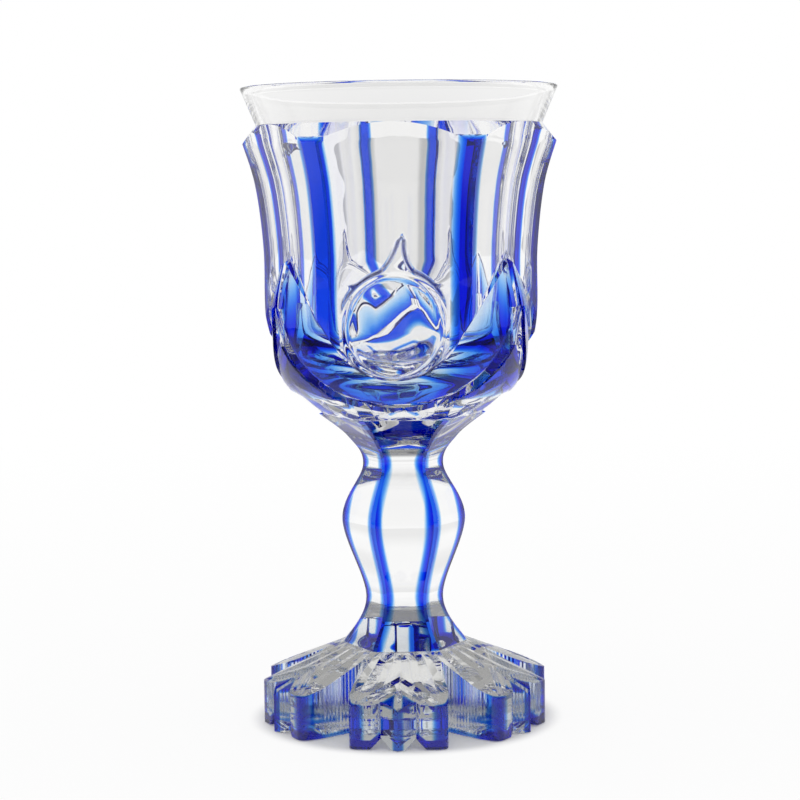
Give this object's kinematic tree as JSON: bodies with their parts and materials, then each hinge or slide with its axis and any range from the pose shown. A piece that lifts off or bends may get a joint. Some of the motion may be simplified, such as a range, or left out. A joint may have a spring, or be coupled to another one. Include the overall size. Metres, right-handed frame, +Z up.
{
  "type": "goblet",
  "caption": "Clear cut-glass goblet with blue cased ribs, panelled flared bowl, round hollow-cut medallions, knopped faceted stem and lobed foot, for serving drinks.",
  "frame": {"origin": "centre of the foot's underside, on the table", "axes": "+Z up along the stem, -Y towards the front medallion"},
  "size_m": [0.0816, 0.0816, 0.165],
  "materials": {
    "crystal": "polished clear crystal",
    "cobalt_casing": "polished cobalt-blue casing, cut through to the clear"
  },
  "bodies": {
    "root": {"bowl": "crystal", "stem": "crystal", "foot": "crystal", "bowl_rib_1": "cobalt_casing", "bowl_rib_2": "cobalt_casing", "bowl_rib_3": "cobalt_casing", "bowl_rib_4": "cobalt_casing", "bowl_rib_5": "cobalt_casing", "bowl_rib_6": "cobalt_casing", "bowl_swag_1": "cobalt_casing", "bowl_swag_2": "cobalt_casing", "bowl_swag_3": "cobalt_casing", "bowl_spandrel_1": "cobalt_casing", "bowl_spandrel_2": "cobalt_casing", "bowl_spandrel_3": "cobalt_casing", "stem_rib_1": "cobalt_casing", "stem_rib_2": "cobalt_casing", "stem_rib_3": "cobalt_casing", "stem_rib_4": "cobalt_casing", "stem_rib_5": "cobalt_casing", "stem_rib_6": "cobalt_casing", "foot_corner_1": "cobalt_casing", "foot_corner_2": "cobalt_casing", "foot_corner_3": "cobalt_casing", "foot_corner_4": "cobalt_casing", "foot_corner_5": "cobalt_casing", "foot_corner_6": "cobalt_casing", "foot_corner_7": "cobalt_casing", "foot_corner_8": "cobalt_casing", "foot_corner_9": "cobalt_casing", "foot_corner_10": "cobalt_casing", "foot_corner_11": "cobalt_casing", "foot_corner_12": "cobalt_casing", "foot_tooth_1": "cobalt_casing", "foot_tooth_2": "cobalt_casing", "foot_tooth_3": "cobalt_casing", "foot_tooth_4": "cobalt_casing", "foot_tooth_5": "cobalt_casing", "foot_tooth_6": "cobalt_casing"}
  },
  "joints": []
}
